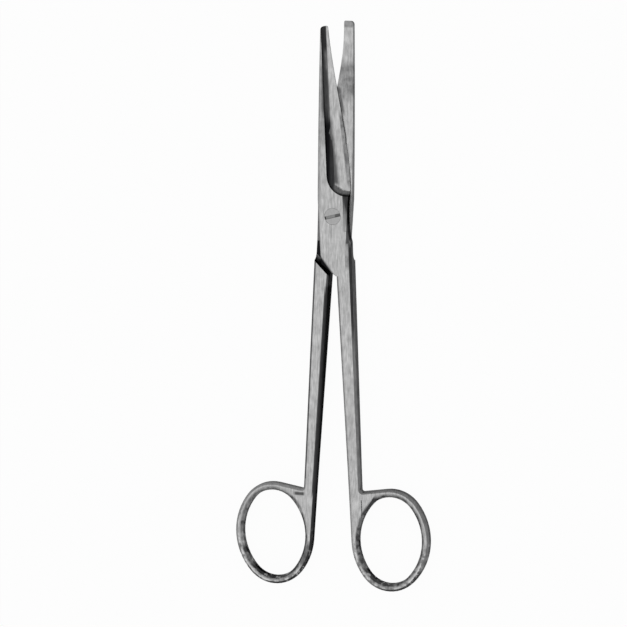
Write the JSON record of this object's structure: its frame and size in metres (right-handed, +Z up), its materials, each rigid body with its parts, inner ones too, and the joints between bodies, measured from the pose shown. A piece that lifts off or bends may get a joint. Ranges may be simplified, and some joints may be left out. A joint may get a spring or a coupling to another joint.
{
  "type": "dissecting scissors",
  "caption": "Straight surgical dissecting scissors with blunt bevelled blades, a lap joint on a slotted pivot screw, long tapering shanks and oval finger rings, resting slightly open.",
  "frame": {"origin": "on the pivot axis, on the flat back face of the joint, which lies on the table", "axes": "+X to the right and +Y towards the tips as seen from above, +Z up along the pivot screw to its slotted head"},
  "size_m": [0.0715, 0.2006, 0.0062],
  "materials": {
    "satin_steel": "satin stainless steel, finely brushed along the blades and shanks, brighter on worn edges",
    "screw_steel": "turned stainless steel, ground flush with the joint and slightly duller than the halves"
  },
  "bodies": {
    "back": {"back_half": "satin_steel", "pivot_screw": "screw_steel"},
    "front": {"front_half": "satin_steel"}
  },
  "joints": [
    {"name": "pivot", "type": "hinge", "parent": "back", "child": "front", "pos_m": [0, 0, 0.00312], "axis": [0, 0, 1], "range_deg": [-6.6, 125]}
  ]
}
